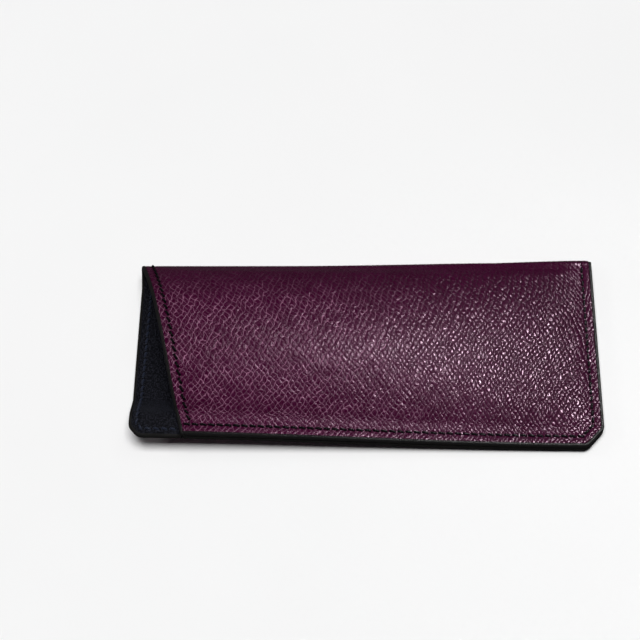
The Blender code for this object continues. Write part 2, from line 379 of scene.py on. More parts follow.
class Graph:
    """A node tree written as sums. Most calls add a node and give back its output."""

    def __init__(self, tree):
        self.tree = tree

    def put(self, socket, value):
        if isinstance(value, bpy.types.NodeSocket):
            self.tree.links.new(value, socket)
        else:
            socket.default_value = value

    def add(self, kind, inputs=(), output=0, **settings):
        node = self.tree.nodes.new(kind)
        for name, value in settings.items():
            setattr(node, name, value)
        for name, value in dict(inputs).items():
            self.put(node.inputs[name], value)
        return node.outputs[output]

    def math(self, operation, *values):
        return self.add("ShaderNodeMath", enumerate(values), operation=operation)

    def vector_math(self, operation, *values):
        return self.add("ShaderNodeVectorMath", enumerate(values), operation=operation)

    def times(self, first, second):
        return self.math("MULTIPLY", first, second)

    def plus(self, first, second):
        return self.math("ADD", first, second)

    def minus(self, first, second):
        return self.math("SUBTRACT", first, second)

    def attribute(self, name):
        return self.add("ShaderNodeAttribute", output="Vector", attribute_name=name)

    def pair(self, x, y):
        return self.add("ShaderNodeCombineXYZ", {"X": x, "Y": y})

    def parts(self, vector):
        node = self.tree.nodes.new("ShaderNodeSeparateXYZ")
        self.put(node.inputs[0], vector)
        return node.outputs[0], node.outputs[1]

    def ramp(self, value, start, end, low=0.0, high=1.0):
        """From low at start to high at end, smoothly."""
        inputs = {"Value": value, "From Min": start, "From Max": end, "To Min": low, "To Max": high}
        return self.add("ShaderNodeMapRange", inputs, interpolation_type="SMOOTHSTEP")

    def noise(self, place, size, detail=2.0, output=0, dimensions="2D"):
        """A cloudy pattern whose patches are about that size."""
        inputs = {"Vector": place, "Scale": 1 / size, "Detail": detail}
        return self.add("ShaderNodeTexNoise", inputs, output, noise_dimensions=dimensions)

    def solid_noise(self, size, detail):
        """A cloudy pattern through the whole piece, whose patches are about that size in metres."""
        place = self.add("ShaderNodeTexCoord", output="Object")
        return self.noise(place, size, detail, dimensions="3D")

    def patches(self, place, size, clouds, shares, detail=2.0):
        """From one share to the other between patches of that size, where the noise is in clouds."""
        return self.ramp(self.noise(place, size, detail), *clouds, *shares)

    def cell_edges(self, place):
        """The distance to the nearest border between irregular cells, one to each unit."""
        inputs = {"Vector": place, "Scale": 1.0}
        settings = {"voronoi_dimensions": "2D", "feature": "DISTANCE_TO_EDGE"}
        return self.add("ShaderNodeTexVoronoi", inputs, "Distance", **settings)

    def squeezed(self, place, share):
        """The place with its second coordinate squeezed, which draws a pattern out across the case."""
        return self.vector_math("MULTIPLY", place, (1.0, share, 1.0))

    def mix(self, share, first, second):
        inputs = {0: share, 6: first, 7: second}
        return self.add("ShaderNodeMix", inputs, 2, data_type="RGBA")

    def bump(self, height, distance):
        """The normal of a surface with this height, whose unit is that distance in metres."""
        return self.add("ShaderNodeBump", {"Height": height, "Distance": distance})


# -------- the leather's grain

# Where the pebbles lie, in millimetres: in slanting rows, between two sets of crossing valleys
PEBBLE_ALONG = (2.35, 1.85)  # how far apart they are along, at the mouth and at the closed end
PEBBLE_ACROSS = (4.4, 2.5)  # and across, at the fold and at the near seam
LEAN_SHIFT = -16.0  # how far the pattern is pushed along, which makes the pebbles lean
LEAN_REACH = (-20.0, 62.0)  # where the push starts and ends across
FAN_SHARE = -2.3  # at the closed end the pebbles fan out instead: they lean one way at the fold,
FAN_TURN = 1.17  # and the other way near the seam
FAN_FADE = (0.2, 0.9)  # where the fan takes over, in squared shares of the length
WANDER_SIZE = 11.0
WANDER = 1.1

# The pebbles themselves, in pebbles
WOBBLE_SIZE = 1.7
WOBBLE = 1.15
VALLEY_SHARE = 0.2  # from the bottom of a valley to the pebble's top
LINE_SHARE = (0.01, 0.08)  # half of the width of the painted highlight in a valley
CREASE_SHARE = 0.09  # the same of a fine crease
CREASE_CELLS = (1.6, 1.4, 0.0)  # how many cells of fine creases a pebble has each way

# The relief, in millimetres
VALLEY_DEPTH = 0.085
CREASE_DEPTH = 0.025
DOME_DEPTH = (0.16, 0.56)  # at the mouth, where the pebbles are flatter, and at the closed end
GRIT_SIZE = 0.35
GRIT_DEPTH = 0.006
SMOOTH_FOLD = (1.5, 14.0)  # the grain is stretched smoother at the fold than beyond these distances
FOLD_SHARE = 0.45

# The painted highlight in the valleys, which stands in for the light that their walls catch, in
# millimetres
FIRST_HIGHLIGHT_GAPS = {"size": 1.6, "clouds": (0.3, 0.5), "shares": (0.45, 1.0)}  # in pebbles
SECOND_HIGHLIGHT_GAPS = {"size": 1.3, "clouds": (0.36, 0.56), "shares": (0.2, 0.9)}  # in pebbles
HIGHLIGHT_CLOUDS = {"size": 6.0, "clouds": (0.3, 0.65), "shares": (0.45, 1.0), "detail": 3.0}
HIGHLIGHT_ON_CREASES = 0.2
HIGHLIGHT_UNTIL = (0.4 * LENGTH / MM, 0.95 * LENGTH / MM)
HIGHLIGHT_AT_END = 0.1
HIGHLIGHT_FROM = (6.0, 32.0)  # from the fold
HIGHLIGHT_AT_FOLD = 0.08


def count_up(graph, place, first, last, reach):
    """How many pebbles lie before a place, when their size goes from first at 0 to last at the reach."""
    growth = (1 / last - 1 / first) / (2 * reach)
    share = graph.plus(graph.times(graph.math("ABSOLUTE", place), growth), 1 / first)
    return graph.times(place, share)


def wavering(graph, place, size, amount):
    """A wavering pair of numbers, up to about half of that amount to both sides of 0."""
    noise = graph.vector_math("SUBTRACT", graph.noise(place, size, output=1), (0.5, 0.5, 0.5))
    return graph.vector_math("MULTIPLY", noise, (amount, amount, 0.0))


def pebble_places(graph, place):
    """Places among the pebbles, counted in pebbles, from places on the pattern in millimetres."""
    along, across = graph.parts(place)
    share_along = graph.times(along, MM / LENGTH)
    fanned = graph.ramp(graph.times(share_along, share_along), *FAN_FADE)
    reach = graph.ramp(across, *LEAN_REACH)
    fan = graph.times(graph.minus(reach, FAN_TURN), FAN_SHARE)
    lean = graph.plus(graph.minus(1.0, fanned), graph.times(fanned, fan))
    leaning = graph.times(graph.times(reach, LEAN_SHIFT), lean)
    wander_along, wander_across = graph.parts(wavering(graph, place, WANDER_SIZE, 2 * WANDER))
    shift = graph.plus(leaning, wander_along)
    along = count_up(graph, graph.plus(along, shift), *PEBBLE_ALONG, LENGTH / MM)
    across = count_up(graph, graph.plus(across, wander_across), *PEBBLE_ACROSS, WIDTH / MM)
    rows = graph.pair(graph.plus(along, across), graph.minus(along, across))
    return graph.vector_math("ADD", rows, wavering(graph, rows, WOBBLE_SIZE, WOBBLE))


def to_valleys(graph, pebbles):
    """The distances to the nearest valley of each of the two sets, from 0 to half a pebble."""
    first, second = graph.parts(pebbles)
    return graph.math("PINGPONG", first, 0.5), graph.math("PINGPONG", second, 0.5)


def fine_creases(graph, pebbles):
    """1 in the fine creases across the pebbles, and 0 beside them."""
    cells = graph.vector_math("MULTIPLY", pebbles, CREASE_CELLS)
    return graph.ramp(graph.cell_edges(cells), 0.0, CREASE_SHARE, 1.0, 0.0)


def grain_height(graph, place):
    """The height of the leather's grain in millimetres, at most 0, at a place on the pattern."""
    along, across = graph.parts(place)
    pebbles = pebble_places(graph, place)
    first, second = to_valleys(graph, pebbles)
    valleys = graph.ramp(graph.math("MINIMUM", first, second), 0.0, VALLEY_SHARE, -VALLEY_DEPTH, 0.0)
    from_first = graph.minus(0.5, first)
    from_second = graph.minus(0.5, second)
    squares = graph.plus(graph.times(from_first, from_first), graph.times(from_second, from_second))
    dome_depth = graph.ramp(along, 0.0, LENGTH / MM, *DOME_DEPTH)
    domes = graph.times(squares, graph.times(dome_depth, -1.0))
    creases = graph.times(fine_creases(graph, pebbles), -CREASE_DEPTH)
    grit = graph.times(graph.minus(graph.noise(place, GRIT_SIZE), 1.0), GRIT_DEPTH)
    height = graph.plus(graph.plus(valleys, domes), graph.plus(creases, grit))
    return graph.times(height, graph.ramp(graph.math("ABSOLUTE", across), *SMOOTH_FOLD, FOLD_SHARE, 1.0))


def painted_valley_highlights(graph, place):
    """1 in the valleys, where a highlight is painted for the light that their walls catch, and 0 on the
    pebbles.
    """
    along, across = graph.parts(place)
    pebbles = pebble_places(graph, place)
    first, second = to_valleys(graph, pebbles)
    first = graph.ramp(first, *LINE_SHARE, 1.0, 0.0)
    second = graph.ramp(second, *LINE_SHARE, 1.0, 0.0)
    first = graph.times(first, graph.patches(pebbles, **FIRST_HIGHLIGHT_GAPS))
    second = graph.times(second, graph.patches(pebbles, **SECOND_HIGHLIGHT_GAPS))
    fine = graph.times(fine_creases(graph, pebbles), HIGHLIGHT_ON_CREASES)
    lines = graph.math("MAXIMUM", graph.math("MAXIMUM", first, second), fine)
    # The painted highlight fades towards the closed end, where the pebbles' tops catch the light instead,
    # and towards the fold
    by_length = graph.ramp(along, *HIGHLIGHT_UNTIL, 1.0, HIGHLIGHT_AT_END)
    by_fold = graph.ramp(graph.math("ABSOLUTE", across), *HIGHLIGHT_FROM, HIGHLIGHT_AT_FOLD, 1.0)
    highlight_strength = graph.patches(place, **HIGHLIGHT_CLOUDS)
    return graph.times(lines, graph.times(highlight_strength, graph.times(by_length, by_fold)))


def grain_at(places):
    """The grain's height in metres at places on the pattern, from the same nodes as the material's."""
    mesh = bpy.data.meshes.new("grain_probe")
    flat = np.column_stack([places / MM, np.zeros(len(places))])
    mesh.from_pydata(flat, [], [])
    probe = add_object("grain_probe", mesh)
    tree = bpy.data.node_groups.new("grain_probe", "GeometryNodeTree")
    tree.interface.new_socket("Geometry", in_out="INPUT", socket_type="NodeSocketGeometry")
    tree.interface.new_socket("Geometry", in_out="OUTPUT", socket_type="NodeSocketGeometry")
    graph = Graph(tree)
    height = grain_height(graph, graph.add("GeometryNodeInputPosition"))
    upwards = graph.add("ShaderNodeCombineXYZ", {"Z": height})
    inputs = {"Geometry": graph.add("NodeGroupInput"), "Offset": upwards}
    raised = graph.add("GeometryNodeSetPosition", inputs)
    tree.links.new(raised, tree.nodes.new("NodeGroupOutput").inputs[0])
    probe.modifiers.new("grain", "NODES").node_group = tree
    evaluated = probe.evaluated_get(bpy.context.evaluated_depsgraph_get())
    raised_mesh = evaluated.to_mesh()
    heights = np.empty(3 * len(places))
    raised_mesh.vertices.foreach_get("co", heights)
    evaluated.to_mesh_clear()
    bpy.data.objects.remove(probe)
    bpy.data.meshes.remove(mesh)
    bpy.data.node_groups.remove(tree)
    return heights[2::3] * MM


# -------- materials


def new_material(name, **values):
    """A material whose even values are on the shader itself, and the graph to add its patterns with."""
    made = bpy.data.materials.new(name)
    made.use_nodes = True
    shader = made.node_tree.nodes["Principled BSDF"]
    for socket, value in values.items():
        shader.inputs[socket.replace("_", " ")].default_value = value
    return made, Graph(made.node_tree), shader


def finish_surface(graph, shader, colour, roughness, relief, unit=MM):
    """Puts on the shader a colour, a roughness and a relief, which is measured in that unit."""
    graph.put(shader.inputs["Base Color"], colour)
    graph.put(shader.inputs["Roughness"], roughness)
    graph.put(shader.inputs["Normal"], graph.bump(relief, unit))


HOLE_RADIUS = (0.32, 0.6)  # in millimetres, where a stitch hole's wall starts and ends
HOLE_DEPTH = 0.5


def stitch_holes(graph, attribute, lean):
    """1 where a row's stitches go in and 0 elsewhere, on a piece that carries the row's attribute."""
    count, left = graph.parts(graph.attribute(attribute))
    between = graph.minus(graph.math("FRACT", graph.plus(count, 0.5)), 0.5)
    after = graph.math("SIGN", between)
    from_middle = graph.times(between, STITCH_PITCH / MM)
    along = graph.minus(from_middle, graph.times(after, STITCH_MARGIN / MM))
    aside = graph.plus(left, graph.times(after, lean / MM))
    squares = graph.plus(graph.times(along, along), graph.times(aside, aside))
    return graph.ramp(graph.math("SQRT", squares), *HOLE_RADIUS, 1.0, 0.0)


# The first colour is painted shade, for the grain's valleys
LEATHER_VALLEY_SHADE = (0.020, 0.0004, 0.0090, 1.0)
LEATHER_MIDDLE = (0.033, 0.0006, 0.0150, 1.0)
LEATHER_LIGHT = (0.043, 0.0015, 0.0210, 1.0)
# A painted highlight, for the light that the valley walls catch
LEATHER_VALLEY_HIGHLIGHT = (0.340, 0.1450, 0.2400, 1.0)
# Painted shade in the stitch holes
LEATHER_HOLE_SHADE = (0.001, 0.001, 0.001, 1.0)
LEATHER_SHINE = (1.0, 0.76, 0.9, 1.0)
PEBBLE_TINT = 0.35  # how much each pebble's own tint counts
# The lighter clouds; the painted shade, darker where the grain is low, in its valleys; and how rough the
# leather is by the grain's height, in millimetres
LIGHT_CLOUDS = {"size": 17.0, "clouds": (0.3, 0.7), "shares": (0.1, 0.65), "detail": 3.0}
SHADE_BY_HEIGHT = {"start": -0.22, "end": -0.04, "low": 0.85, "high": 0.0}
ROUGHNESS_BY_HEIGHT = {"start": -0.2, "end": -0.03, "low": 0.38, "high": 0.28}
# What the wear adds to the roughness
WEAR = {"size": 2.0, "clouds": (0.2, 0.8), "shares": (-0.03, 0.03), "detail": 4.0}
SEAM_REACH = 7.0  # in millimetres from the closing seam's stitches, which pull the leather down
SEAM_DIP = 0.75
PRESSED_SHARE = 0.6  # of the grain's height, at the stitches


def leather_material():
    made, graph, shader = new_material(
        "pebbled_leather", IOR=1.5, Specular_IOR_Level=0.5, Specular_Tint=LEATHER_SHINE
    )
    place = graph.attribute("pattern")
    from_seam = graph.math("ABSOLUTE", graph.parts(graph.attribute("seam_stitches"))[1])
    near_seam = graph.ramp(from_seam, 0.0, SEAM_REACH, 1.0, 0.0)
    dip = graph.times(graph.times(near_seam, near_seam), -SEAM_DIP)
    pressed = graph.plus(1.0, graph.times(near_seam, PRESSED_SHARE - 1.0))
    height = graph.times(grain_height(graph, place), pressed)
    mouth_holes = stitch_holes(graph, "mouth_stitches", MOUTH_LEAN)
    holes = graph.math("MAXIMUM", mouth_holes, stitch_holes(graph, "seam_stitches", SEAM_LEAN))

    pebble = graph.vector_math("FLOOR", pebble_places(graph, place))
    tint = graph.add("ShaderNodeTexWhiteNoise", {"Vector": pebble}, noise_dimensions="2D")
    share = graph.plus(graph.times(tint, PEBBLE_TINT), graph.patches(place, **LIGHT_CLOUDS))
    colour = graph.mix(share, LEATHER_MIDDLE, LEATHER_LIGHT)
    # Painted shade: darker where the grain is low, in its valleys
    colour = graph.mix(graph.ramp(height, **SHADE_BY_HEIGHT), colour, LEATHER_VALLEY_SHADE)
    # Painted highlight: pale lines in the valleys for the light that their walls catch, weaker where the
    # stitches press the grain flat
    colour = graph.mix(graph.times(painted_valley_highlights(graph, place), pressed), colour, LEATHER_VALLEY_HIGHLIGHT)
    # Painted shade in the stitch holes, where the thread goes in
    colour = graph.mix(holes, colour, LEATHER_HOLE_SHADE)

    roughness = graph.plus(graph.ramp(height, **ROUGHNESS_BY_HEIGHT), graph.patches(place, **WEAR))
    relief = graph.plus(graph.plus(height, graph.times(holes, -HOLE_DEPTH)), dip)
    finish_surface(graph, shader, colour, roughness, relief)
    return made


SUEDE_DARK = (0.0008, 0.0008, 0.0012, 1.0)
SUEDE_LIGHT = (0.0150, 0.0155, 0.0210, 1.0)
# Painted shade in the stitch holes
SUEDE_HOLE_SHADE = (0.0008, 0.0008, 0.0008, 1.0)
SUEDE_SHEEN = (0.55, 0.62, 0.85, 1.0)
BRUSHED_SQUEEZE = 0.35
BRUSHED_SIZE = 9.0
BRUSHED_TINT = 0.3  # how much the brushed streaks count
NAP_SQUEEZE = 0.7
NAP_SIZE = 0.55
NAP_DEPTH = 0.09
LIGHT_BY_NAP = {"start": 0.45, "end": 0.63, "low": 0.0, "high": 0.95}
ROUGHNESS_BY_NAP = {"start": 0.3, "end": 0.7, "low": 0.85, "high": 1.0}


def suede_material():
    made, graph, shader = new_material(
        "suede_lining",
        Specular_IOR_Level=0.15,
        Sheen_Weight=0.06,
        Sheen_Roughness=0.4,
        Sheen_Tint=SUEDE_SHEEN,
    )
    place = graph.attribute("pattern")
    holes = stitch_holes(graph, "mouth_stitches", MOUTH_LEAN)
    brushed = graph.noise(graph.squeezed(place, BRUSHED_SQUEEZE), BRUSHED_SIZE, detail=4.0)
    nap = graph.noise(graph.squeezed(place, NAP_SQUEEZE), NAP_SIZE, detail=4.0)
    share = graph.plus(graph.times(brushed, BRUSHED_TINT), graph.ramp(nap, **LIGHT_BY_NAP))
    # Painted shade in the stitch holes, where the thread goes in
    colour = graph.mix(holes, graph.mix(share, SUEDE_DARK, SUEDE_LIGHT), SUEDE_HOLE_SHADE)
    relief = graph.plus(graph.times(nap, NAP_DEPTH), graph.times(holes, -HOLE_DEPTH))
    finish_surface(graph, shader, colour, graph.ramp(nap, **ROUGHNESS_BY_NAP), relief)
    return made


FELT_DARK = (0.09, 0.09, 0.085, 1.0)
FELT_LIGHT = (0.28, 0.28, 0.27, 1.0)
FELT_SQUEEZE = 0.3
FELT_FIBRE = 0.5
FELT_DEPTH = 0.2 * MM
ROUGHNESS_BY_FELT = {"start": 0.2, "end": 0.8, "low": 0.85, "high": 1.0}


def felt_material():
    made, graph, shader = new_material("felt_interlining", Specular_IOR_Level=0.2, Sheen_Weight=0.2)
    place = graph.squeezed(graph.attribute("pattern"), FELT_SQUEEZE)
    fibres = graph.noise(place, FELT_FIBRE, detail=5.0)
    colour = graph.mix(fibres, FELT_DARK, FELT_LIGHT)
    finish_surface(graph, shader, colour, graph.ramp(fibres, **ROUGHNESS_BY_FELT), fibres, FELT_DEPTH)
    return made


BLACK_THREAD = (0.0008, 0.0008, 0.0008, 1.0), (0.004, 0.0035, 0.004, 1.0)  # darkest and lightest
NAVY_THREAD = (0.003, 0.0035, 0.006, 1.0), (0.03, 0.036, 0.06, 1.0)
THREAD_FIBRE = 0.12 * MM
THREAD_DEPTH = 0.03 * MM
ROUGHNESS_BY_FIBRE = {"start": 0.3, "end": 0.7, "low": 0.4, "high": 0.6}


def thread_material(name, dark, light):
    made, graph, shader = new_material(name, Specular_IOR_Level=0.25)
    fibres = graph.solid_noise(THREAD_FIBRE, detail=3.0)
    colour = graph.mix(fibres, dark, light)
    finish_surface(graph, shader, colour, graph.ramp(fibres, **ROUGHNESS_BY_FIBRE), fibres, THREAD_DEPTH)
    return made


PAINT_DARK = (0.004, 0.004, 0.004, 1.0)
PAINT_LIGHT = (0.013, 0.012, 0.012, 1.0)
STREAK_SIZE = 1.6 * MM
STREAK_DEPTH = 0.07
SPECK_SIZE = 0.35 * MM
SPECK_DEPTH = 0.02
SPECK_ROUGHNESS = 0.08
ROUGHNESS_BY_STREAK = {"start": 0.3, "end": 0.7, "low": 0.45, "high": 0.6}


def paint_material():
    made, graph, shader = new_material("edge_paint", IOR=1.48, Specular_IOR_Level=0.25)
    streaks = graph.solid_noise(STREAK_SIZE, detail=4.0)
    specks = graph.solid_noise(SPECK_SIZE, detail=3.0)
    colour = graph.mix(streaks, PAINT_DARK, PAINT_LIGHT)
    roughness = graph.ramp(streaks, **ROUGHNESS_BY_STREAK)
    roughness = graph.plus(roughness, graph.times(specks, SPECK_ROUGHNESS))
    relief = graph.plus(graph.times(streaks, STREAK_DEPTH), graph.times(specks, SPECK_DEPTH))
    finish_surface(graph, shader, colour, roughness, relief)
    return made


FLOOR_DARK = (0.87, 0.87, 0.87, 1.0)
FLOOR_LIGHT = (0.9, 0.9, 0.9, 1.0)
FLOOR_REFLECTED = (0.04, 0.04, 0.04, 1.0)
FLOOR_CLOUDS = 90 * MM


def floor_material():
    """A pale table, which reflections show darker, as on a photograph whose background was whitened."""
    made, graph, shader = new_material("pale_floor", Specular_IOR_Level=0.2, Roughness=0.6)
    cloud = graph.solid_noise(FLOOR_CLOUDS, detail=3.0)
    reflected = graph.add("ShaderNodeLightPath", output="Is Glossy Ray")
    colour = graph.mix(reflected, graph.mix(cloud, FLOOR_DARK, FLOOR_LIGHT), FLOOR_REFLECTED)
    graph.put(shader.inputs["Base Color"], colour)
    return made


# -------- meshes


def add_piece(name, points, faces, finish, node):
    """A closed piece that stands for a CAD node."""
    mesh = bpy.data.meshes.new(name)
    mesh.from_pydata(points, [], faces)
    turned = bmesh.new()
    turned.from_mesh(mesh)
    bmesh.ops.recalc_face_normals(turned, faces=turned.faces)
    turned.to_mesh(mesh)
    turned.free()
    mesh.materials.append(finish)
    mesh.shade_smooth()
    made = add_object(name, mesh)
    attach(made, "root")
    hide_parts(node)
    return made


def add_attribute(piece, name, columns):
    """A vector for each vertex, from one to three columns of numbers."""
    values = np.zeros((len(piece.data.vertices), 3), np.float32)
    for i, column in enumerate(columns):
        values[:, i] = column
    attribute = piece.data.attributes.new(name, "FLOAT_VECTOR", "POINT")
    attribute.data.foreach_set("vector", values.ravel())


def add_stitch_attribute(piece, name, places, line):
    """How many stitches along the row each place is, and how many millimetres to its left."""
    found, left = line.nearest(places)
    add_attribute(piece, name, (found / line.length * stitch_count(line), left / MM))


def grid(rows, first, last, step, multiple=1):
    """Places on the pattern in rows, each row from the first edge to the last in such steps."""
    shares = np.linspace(0.0, 1.0, len(steps(0.0, LENGTH, step, multiple)))
    start = first(rows)[:, None]
    along = start + (last(rows)[:, None] - start) * shares
    return np.stack([along, np.broadcast_to(rows[:, None], along.shape)], axis=-1)


def steps(first, last, step, multiple=1):
    """Even steps from first to last, in a number that is a multiple of that one."""
    count = multiple * math.ceil(abs(last - first) / step / multiple)
    return np.linspace(first, last, count + 1)


def sheet_faces(row_count, row_length, share):
    """A closed sheet's faces: a fine outer layer, an inner layer of every share-th place, and the rim."""
    outer = np.arange(row_count * row_length).reshape(row_count, row_length)
    inner_shape = outer[::share, ::share].shape
    inner = row_count * row_length + np.arange(inner_shape[0] * inner_shape[1]).reshape(inner_shape)

    def quads(layer):
        ring = (layer[:-1, :-1], layer[:-1, 1:], layer[1:, 1:], layer[1:, :-1])
        return np.stack(ring, axis=-1).reshape(-1, 4)

    def border(layer):
        return np.concatenate([layer[0, :-1], layer[:-1, -1], layer[-1, :0:-1], layer[:0:-1, 0]])

    faces = quads(outer).tolist()
    faces += quads(inner)[:, ::-1].tolist()
    fine = border(outer).tolist()
    coarse = border(inner).tolist()
    fine.append(fine[0])
    coarse.append(coarse[0])
    for i in range(len(coarse) - 1):
        faces.append([coarse[i], coarse[i + 1], *reversed(fine[i * share : (i + 1) * share + 1])])
    return faces


def add_sheet(name, places, inner_depth, outer_depth, share, finish, node):
    """A closed sheet between two depths, even ones or one for each place."""
    outer = bent(places, outer_depth)
    inner = bent(places, inner_depth)[::share, ::share]
    points = np.concatenate([outer.reshape(-1, 3), inner.reshape(-1, 3)])
    faces = sheet_faces(places.shape[0], places.shape[1], share)
    piece = add_piece(name, points, faces, finish, node)
    piece.data.set_sharp_from_angle(angle=SHARP_ANGLE)
    covered = np.concatenate([places.reshape(-1, 2), places[::share, ::share].reshape(-1, 2)])
    add_attribute(piece, "pattern", (covered[:, 0] / MM, covered[:, 1] / MM))
    return piece, covered


MESH_SHARE = 0.5  # of the grain's height that the mesh has
GROOVE_DEPTH = 0.24 * MM  # how far the stitches pull the leather in
GROOVE_WIDTH = 0.75 * MM
ROUND_DEPTH = 0.22 * MM  # at the cut edges, which are rounded off
ROUND_WIDTH = 0.5 * MM

# The folds along the near seam by the mouth, in millimetres
PUCKER_START = (14.0, 34.0)  # where they grow in
PUCKER_END = (98.0, 38.0)  # and where they fade out, backwards
PUCKER_WAVES = ((3.1, 1.0, 0.0), (1.7, 0.7, 1.0))  # each one's length over 2 pi, share and phase
PUCKERS = (
    {"middle": 1.5, "swing": 0.3, "width": 0.4, "depth": 0.2},
    {"middle": 3.3, "swing": 0.6, "width": 0.45, "depth": 0.12},
)

# The creases that rise away from the near seam: where they start and end, how far they are then from
# the seam's stitches, and how deep they are, in millimetres
LONG_CREASES = (
    {"along": (34, 66), "inside": (1.2, 6.5), "depth": 0.16},
    {"along": (63, 118), "inside": (3.5, 20), "depth": 0.1},
    {"along": (22, 48), "inside": (4.5, 1.0), "depth": 0.14},
    {"along": (84, 112), "inside": (1.2, 4.5), "depth": 0.1},
)
CREASE_WIDTH = 0.45 * MM
CREASE_BEND = 1.2  # 1 is straight, and more starts flatter
CREASE_FADE = 4  # a crease fades over one part in this many at both ends


def seam_puckers(along, inside):
    """Folds by the mouth, where the swelling panel crowds against the near seam."""
    along = along / MM
    inside = inside / MM
    waves = sum(share * np.sin(along / length + phase) for length, share, phase in PUCKER_WAVES)
    relief = np.zeros_like(along)
    for pucker in PUCKERS:
        path = pucker["middle"] + pucker["swing"] * waves
        relief += pucker["depth"] * bell((inside - path) / pucker["width"])
    return MM * relief * fade(along, *PUCKER_START) * fade(along, *PUCKER_END)


def long_creases(along, inside):
    """The creases that rise slowly away from the near seam."""
    relief = np.zeros_like(along)
    for crease in LONG_CREASES:
        first, last = crease["along"]
        low, high = crease["inside"]
        share = np.clip((along / MM - first) / (last - first), 0.0, 1.0)
        path = (low + (high - low) * share**CREASE_BEND) * MM
        strength = smooth_step(CREASE_FADE * np.minimum(share, 1 - share))
        relief += crease["depth"] * MM * strength * bell((inside - path) / CREASE_WIDTH)
    return relief


def outer_relief(places, rows):
    """How far the leather's outer face lies below its even height."""
    along = places[:, 0]
    across = places[:, 1]
    relief = -MESH_SHARE * grain_at(places)
    for line in rows:
        relief += GROOVE_DEPTH * bell(line.nearest(places)[1] / GROOVE_WIDTH)
    inside = WIDTH - STITCH_INSET - across
    relief += np.where(across > 0, seam_puckers(along, inside) + long_creases(along, inside), 0.0)
    relief += ROUND_DEPTH * bell(from_cut_edge(along, across) / ROUND_WIDTH)
    return relief


def make_leather():
    rows = steps(WIDTH, -WIDTH, FINE_STEP, INNER_SHARE)
    places = grid(rows, mouth_edge, end_edge, FINE_STEP, INNER_SHARE)
    flat = places.reshape(-1, 2)
    mouth = mouth_row(NEEDLE_START)
    front_seam = seam_row(1)
    relief = outer_relief(flat, (mouth, front_seam, seam_row(-1))).reshape(places.shape[:2])
    inner_depth = leather_depth(places[..., 0], places[..., 1])
    piece, covered = add_sheet(
        "outer_leather_skin",
        places,
        inner_depth,
        inner_depth + LEATHER - relief,
        INNER_SHARE,
        leather_material(),
        "outer_leather",
    )
    add_stitch_attribute(piece, "mouth_stitches", covered, mouth)
    # The back panel's row is the front's, mirrored, and so is the lean of its stitches
    add_stitch_attribute(piece, "seam_stitches", np.abs(covered), front_seam)


def make_lining(suede):
    rows = steps(WIDTH, -WIDTH, SOFT_STEP)
    places = grid(rows, mouth_edge, end_edge, SOFT_STEP)
    piece, covered = add_sheet(
        "suede_lining_skin", places, 0.0, LINING, 1, suede, "lining"
    )
    add_stitch_attribute(piece, "mouth_stitches", covered, mouth_row(BOBBIN_START))


def make_interlinings(felt):
    """Felt between the lining and the leather of each panel, clear of the edges and the fold."""
    def first(across):
        return mouth_edge(across) + FELT_EDGE

    def last(across):
        return end_edge(across) - FELT_EDGE

    for node, side in (("front_interlining", 1), ("back_interlining", -1)):
        rows = side * steps(WIDTH - FELT_EDGE, FELT_FOLD, SOFT_STEP)
        places = grid(rows, first, last, SOFT_STEP)
        room = leather_depth(places[..., 0], places[..., 1]) - THIN_DEPTH
        outer_depth = THIN_DEPTH + room * INTERLINING / (INTERLINING + GAP)
        name = node + "_felt"
        piece, _ = add_sheet(name, places, THIN_DEPTH, outer_depth, 1, felt, node)
        lengths = last(rows) - first(rows)


def make_stitches(name, node, line, lean, face, outwards, thread):
    """A row of stitches on a face, each leaning across the row and diving into a hole at both ends."""
    count = stitch_count(line)
    shares = np.linspace(0.0, 1.0, STITCH_RINGS)
    margin = STITCH_MARGIN / STITCH_PITCH
    distance = (np.arange(count)[:, None] + margin + (1 - 2 * margin) * shares) * line.length / count
    aside = lean * (2 * shares - 1)
    places = line.at(distance) + line.left(distance) * aside[:, None]
    rise = STITCH_RISE - (STITCH_RISE + STITCH_SINK) * np.abs(2 * shares - 1) ** STITCH_DIVE
    depth = face(places[..., 0], places[..., 1]) + outwards * rise
    middle = bent(places, depth)
    above = bent(places, depth + outwards * SMALL_REACH) - middle
    run = np.gradient(middle, axis=1)
    across = unit(np.cross(run, above))
    upwards = unit(np.cross(across, run))
    angles = np.linspace(0.0, 2 * math.pi, STITCH_SIDES, endpoint=False)
    twist = 2 * math.pi * PLY_TURNS * shares[:, None]
    radius = THREAD_RADIUS * (1 + PLY_SHARE * np.cos(2 * (angles - twist)))
    cosines = np.cos(angles)[:, None]
    sines = np.sin(angles)[:, None]
    offset = cosines * upwards[..., None, :] + sines * across[..., None, :]
    points = middle[..., None, :] + radius[..., None] * offset
    faces = []
    for first in range(0, count * STITCH_RINGS * STITCH_SIDES, STITCH_RINGS * STITCH_SIDES):
        faces += tube_faces(first, STITCH_RINGS, STITCH_SIDES)
    add_piece(name, points.reshape(-1, 3), faces, thread, node)


def tube_faces(first, rings, sides):
    """The faces of a closed tube whose points start at that number."""
    faces = []
    for ring in range(rings - 1):
        for side in range(sides):
            start = first + ring * sides
            following = (side + 1) % sides
            above = start + sides
            faces.append((start + side, start + following, above + following, above + side))
    faces.append(tuple(range(first + sides - 1, first - 1, -1)))
    last = first + (rings - 1) * sides
    faces.append(tuple(range(last, last + sides)))
    return faces


